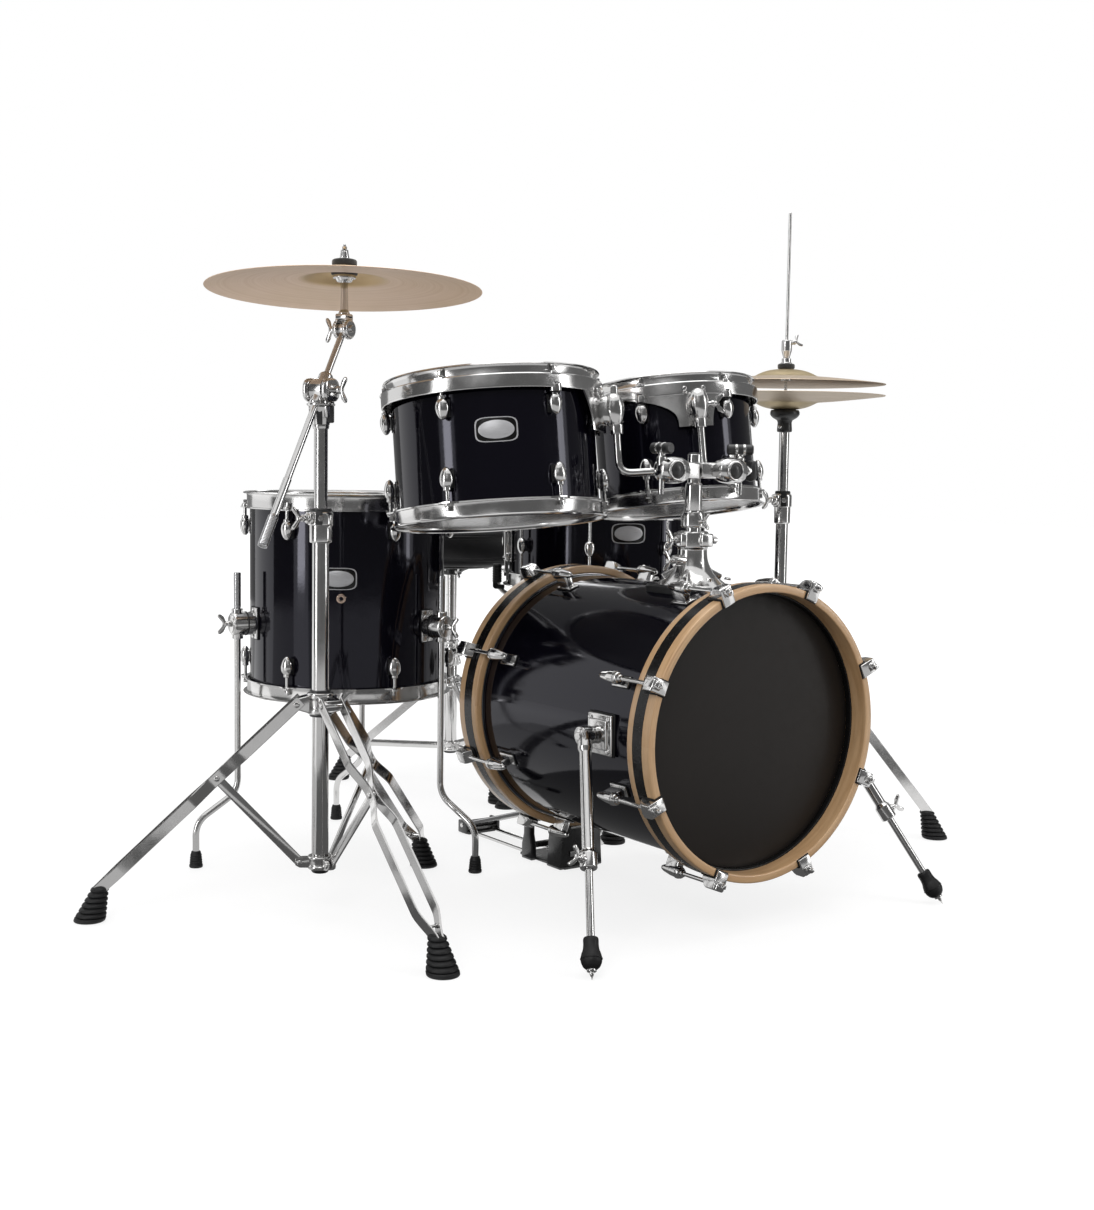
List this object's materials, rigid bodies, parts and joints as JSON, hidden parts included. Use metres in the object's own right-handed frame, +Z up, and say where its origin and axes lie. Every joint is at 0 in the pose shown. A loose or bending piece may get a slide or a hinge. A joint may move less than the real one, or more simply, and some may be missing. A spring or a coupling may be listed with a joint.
{
  "type": "acoustic drum kit",
  "caption": "Acoustic drum kit: bass drum, hung toms, floor tom, snare, hi-hat, boom cymbal, pedal and throne on folding, sliding, tilting hardware.",
  "frame": {"origin": "centre of the bounding box's bottom face, on the floor", "axes": "+Z up; +Y towards the player, so the bass drum's front faces -Y; +X to the audience's right"},
  "size_m": [1.5172, 1.3884, 1.1301],
  "materials": {
    "lacquer": "gloss black lacquer",
    "maple": "gloss maple",
    "chrome": "polished",
    "black_head": "satin black film",
    "coated_head": "coated film",
    "cymbal_bronze": "lathed",
    "cushion": "black vinyl",
    "black_metal": "satin black",
    "beater_felt": "felt"
  },
  "bodies": {
    "kit_base": {"bass_drum_shell": "lacquer", "bass_drum_front_hoop": "maple", "bass_drum_rear_hoop": "maple", "bass_drum_front_head": "black_head", "bass_drum_batter_head": "coated_head", "floor_tom_shell": "lacquer", "floor_tom_top_hoop": "chrome", "floor_tom_batter_head": "coated_head", "floor_tom_bottom_hoop": "chrome", "crash_stand_base_tube": "chrome", "hi_hat_base": "chrome", "snare_stand_base": "chrome", "throne_base": "chrome", "bass_pedal_frame": "black_metal"},
    "left_spur_sleeve": {"left_spur_sleeve": "chrome"},
    "left_spur_rod": {"left_spur_rod": "chrome"},
    "right_spur_sleeve": {"right_spur_sleeve": "chrome"},
    "right_spur_rod": {"right_spur_rod": "chrome"},
    "tom_post": {"tom_mount_post": "chrome"},
    "left_tom_arm": {"left_tom_arm": "chrome"},
    "large_tom": {"large_tom_shell": "lacquer", "large_tom_top_hoop": "chrome", "large_tom_batter_head": "coated_head", "large_tom_bottom_hoop": "chrome"},
    "right_tom_arm": {"right_tom_arm": "chrome"},
    "small_tom": {"small_tom_shell": "lacquer", "small_tom_top_hoop": "chrome", "small_tom_batter_head": "coated_head", "small_tom_bottom_hoop": "chrome"},
    "floor_tom_leg_1": {"floor_tom_leg_1": "chrome"},
    "floor_tom_leg_2": {"floor_tom_leg_2": "chrome"},
    "floor_tom_leg_3": {"floor_tom_leg_3": "chrome"},
    "crash_collar": {"crash_stand_collar": "chrome"},
    "crash_leg_1": {"crash_stand_leg_1": "chrome"},
    "crash_brace_1": {"crash_stand_brace_1": "chrome"},
    "crash_leg_2": {"crash_stand_leg_2": "chrome"},
    "crash_brace_2": {"crash_stand_brace_2": "chrome"},
    "crash_leg_3": {"crash_stand_leg_3": "chrome"},
    "crash_brace_3": {"crash_stand_brace_3": "chrome"},
    "crash_upper": {"crash_stand_upper_tube": "chrome"},
    "boom_clamp": {"crash_boom_clamp": "chrome"},
    "boom_rod": {"crash_boom_rod": "chrome"},
    "cymbal_tilter": {"crash_cymbal_tilter": "chrome"},
    "crash_cymbal": {"crash_cymbal": "cymbal_bronze"},
    "hi_hat_footboard": {"hi_hat_footboard": "black_metal"},
    "hi_hat_upper": {"hi_hat_upper_tube": "chrome", "hi_hat_bottom_cymbal": "cymbal_bronze"},
    "hi_hat_rod": {"hi_hat_pull_rod": "chrome", "hi_hat_top_cymbal": "cymbal_bronze"},
    "snare_post": {"snare_stand_post": "chrome"},
    "snare_drum": {"snare_stand_basket": "chrome", "snare_shell": "lacquer", "snare_top_hoop": "chrome", "snare_batter_head": "coated_head", "snare_bottom_hoop": "chrome"},
    "throw_off_lever": {"snare_throw_off_lever": "chrome"},
    "throne_post": {"throne_post": "chrome"},
    "throne_seat": {"throne_seat": "cushion"},
    "bass_footboard": {"bass_pedal_footboard": "black_metal"},
    "bass_beater": {"bass_pedal_beater": "beater_felt"}
  },
  "joints": [
    {"name": "left_spur_fold", "type": "hinge", "parent": "kit_base", "child": "left_spur_sleeve", "pos_m": [-0.1763, -0.52186, 0.29213], "axis": [1, 0, 0], "range_deg": [0, 80]},
    {"name": "left_spur_extension", "type": "slide", "parent": "left_spur_sleeve", "child": "left_spur_rod", "axis": [-0.304, -0.4751, -0.8258], "range_m": [-0.06, 0.04]},
    {"name": "right_spur_fold", "type": "hinge", "parent": "kit_base", "child": "right_spur_sleeve", "pos_m": [0.2947, -0.52186, 0.29213], "axis": [1, 0, 0], "range_deg": [0, 80]},
    {"name": "right_spur_extension", "type": "slide", "parent": "right_spur_sleeve", "child": "right_spur_rod", "axis": [0.304, -0.4751, -0.8258], "range_m": [-0.06, 0.04]},
    {"name": "tom_post_height", "type": "slide", "parent": "kit_base", "child": "tom_post", "axis": [0, 0, 1], "range_m": [-0.03, 0.06]},
    {"name": "left_tom_arm_tilt", "type": "hinge", "parent": "tom_post", "child": "left_tom_arm", "pos_m": [0.0022, -0.49886, 0.67012], "axis": [1, 0, 0], "range_deg": [-4, 12]},
    {"name": "large_tom_swivel", "type": "hinge", "parent": "left_tom_arm", "child": "large_tom", "pos_m": [-0.0688, -0.45226, 0.66399], "axis": [0, 0.1305, 0.9914], "range_deg": [-3, 15]},
    {"name": "right_tom_arm_tilt", "type": "hinge", "parent": "tom_post", "child": "right_tom_arm", "pos_m": [0.1162, -0.49886, 0.67012], "axis": [1, 0, 0], "range_deg": [-4, 12]},
    {"name": "small_tom_swivel", "type": "hinge", "parent": "right_tom_arm", "child": "small_tom", "pos_m": [0.0992, -0.45047, 0.66246], "axis": [0, 0.1564, 0.9877], "range_deg": [-12, 3]},
    {"name": "floor_tom_leg_1_height", "type": "slide", "parent": "kit_base", "child": "floor_tom_leg_1", "axis": [0, 0, 1], "range_m": [-0.08, 0.04]},
    {"name": "floor_tom_leg_2_height", "type": "slide", "parent": "kit_base", "child": "floor_tom_leg_2", "axis": [0, 0, 1], "range_m": [-0.08, 0.04]},
    {"name": "floor_tom_leg_3_height", "type": "slide", "parent": "kit_base", "child": "floor_tom_leg_3", "axis": [0, 0, 1], "range_m": [-0.08, 0.04]},
    {"name": "crash_collar_slide", "type": "slide", "parent": "kit_base", "child": "crash_collar", "axis": [0, 0, 1], "range_m": [0, 0.07]},
    {"name": "crash_stand_leg_1_fold", "type": "hinge", "parent": "crash_collar", "child": "crash_leg_1", "pos_m": [-0.47568, -0.21464, 0.32112], "axis": [0.4772, 0.8788, 0], "range_deg": [-22.8, 0]},
    {"name": "crash_stand_brace_1_fold", "type": "hinge", "parent": "kit_base", "child": "crash_brace_1", "pos_m": [-0.47217, -0.21655, 0.08313], "axis": [0.4772, 0.8788, 0], "range_deg": [0, 20.6]},
    {"name": "crash_stand_leg_2_fold", "type": "hinge", "parent": "crash_collar", "child": "crash_leg_2", "pos_m": [-0.44491, -0.26485, 0.32112], "axis": [-0.9997, -0.0262, 0], "range_deg": [-22.8, 0]},
    {"name": "crash_stand_brace_2_fold", "type": "hinge", "parent": "kit_base", "child": "crash_brace_2", "pos_m": [-0.44502, -0.26085, 0.08313], "axis": [-0.9997, -0.0262, 0], "range_deg": [0, 20.6]},
    {"name": "crash_stand_leg_3_fold", "type": "hinge", "parent": "crash_collar", "child": "crash_leg_3", "pos_m": [-0.41681, -0.2131, 0.32112], "axis": [0.5225, -0.8526, 0], "range_deg": [-22.8, 0]},
    {"name": "crash_stand_brace_3_fold", "type": "hinge", "parent": "kit_base", "child": "crash_brace_3", "pos_m": [-0.42022, -0.21519, 0.08313], "axis": [0.5225, -0.8526, 0], "range_deg": [0, 20.6]},
    {"name": "crash_height", "type": "slide", "parent": "kit_base", "child": "crash_upper", "axis": [0, 0, 1], "range_m": [-0.06, 0.1]},
    {"name": "boom_tilt", "type": "hinge", "parent": "crash_upper", "child": "boom_clamp", "pos_m": [-0.4458, -0.23086, 0.77812], "axis": [-0.454, 0.891, 0], "range_deg": [-8, 15]},
    {"name": "boom_slide", "type": "slide", "parent": "boom_clamp", "child": "boom_rod", "axis": [0.4722, 0.2406, 0.848], "range_m": [-0.05, 0.1]},
    {"name": "cymbal_tilt", "type": "hinge", "parent": "boom_rod", "child": "cymbal_tilter", "pos_m": [-0.39481, -0.20488, 0.86972], "axis": [-0.454, 0.891, 0], "range_deg": [-15, 15]},
    {"name": "crash_cymbal_spin", "type": "hinge", "parent": "cymbal_tilter", "child": "crash_cymbal", "pos_m": [-0.39481, -0.20488, 0.86972], "axis": [0.0324, 0.0518, 0.9981], "continuous": true},
    {"name": "hi_hat_footboard_hinge", "type": "hinge", "parent": "kit_base", "child": "hi_hat_footboard", "pos_m": [0.3798, 0.09934, 0.01713], "axis": [0.9063, 0.4226, 0], "range_deg": [0, 3.5], "stiffness_Nm_per_rad": 18, "springref_deg": -28.65},
    {"name": "hi_hat_height", "type": "slide", "parent": "kit_base", "child": "hi_hat_upper", "axis": [0, 0, 1], "range_m": [-0.06, 0.06]},
    {"name": "hi_hat_rod_slide", "type": "slide", "parent": "hi_hat_upper", "child": "hi_hat_rod", "axis": [0, 0, 1], "range_m": [-0.0161, 0]},
    {"name": "snare_height", "type": "slide", "parent": "kit_base", "child": "snare_post", "axis": [0, 0, 1], "range_m": [-0.03, 0.08]},
    {"name": "basket_tilt", "type": "hinge", "parent": "snare_post", "child": "snare_drum", "pos_m": [0.3112, 0.07914, 0.39613], "axis": [0, 1, 0], "range_deg": [-10, 10]},
    {"name": "throw_off", "type": "hinge", "parent": "snare_drum", "child": "throw_off_lever", "pos_m": [0.49163, 0.0044, 0.52612], "axis": [0.3827, 0.9239, 0], "range_deg": [0, 110]},
    {"name": "throne_height", "type": "slide", "parent": "kit_base", "child": "throne_post", "axis": [0, 0, 1], "range_m": [-0.05, 0.1]},
    {"name": "seat_spin", "type": "hinge", "parent": "throne_post", "child": "throne_seat", "pos_m": [0.2572, 0.53114, 0.00013], "axis": [0, 0, 1], "continuous": true},
    {"name": "bass_footboard_hinge", "type": "hinge", "parent": "kit_base", "child": "bass_footboard", "pos_m": [0.0592, 0.11214, 0.01512], "axis": [1, 0, 0], "range_deg": [0, 12], "stiffness_Nm_per_rad": 4, "springref_deg": -28.65},
    {"name": "beater_swing", "type": "hinge", "parent": "kit_base", "child": "bass_beater", "pos_m": [0.0592, -0.10986, 0.19612], "axis": [1, 0, 0], "range_deg": [0, 59]}
  ],
  "couplings": [
    {"joint": "crash_stand_leg_1_fold", "follows": "crash_collar_slide", "rad_per_m": -5.6252},
    {"joint": "crash_stand_brace_1_fold", "follows": "crash_collar_slide", "rad_per_m": 5.0833},
    {"joint": "crash_stand_leg_2_fold", "follows": "crash_collar_slide", "rad_per_m": -5.6252},
    {"joint": "crash_stand_brace_2_fold", "follows": "crash_collar_slide", "rad_per_m": 5.0833},
    {"joint": "crash_stand_leg_3_fold", "follows": "crash_collar_slide", "rad_per_m": -5.6252},
    {"joint": "crash_stand_brace_3_fold", "follows": "crash_collar_slide", "rad_per_m": 5.0833},
    {"joint": "hi_hat_rod_slide", "follows": "hi_hat_footboard_hinge", "m_per_rad": -0.26},
    {"joint": "beater_swing", "follows": "bass_footboard_hinge", "ratio": 4.9}
  ]
}
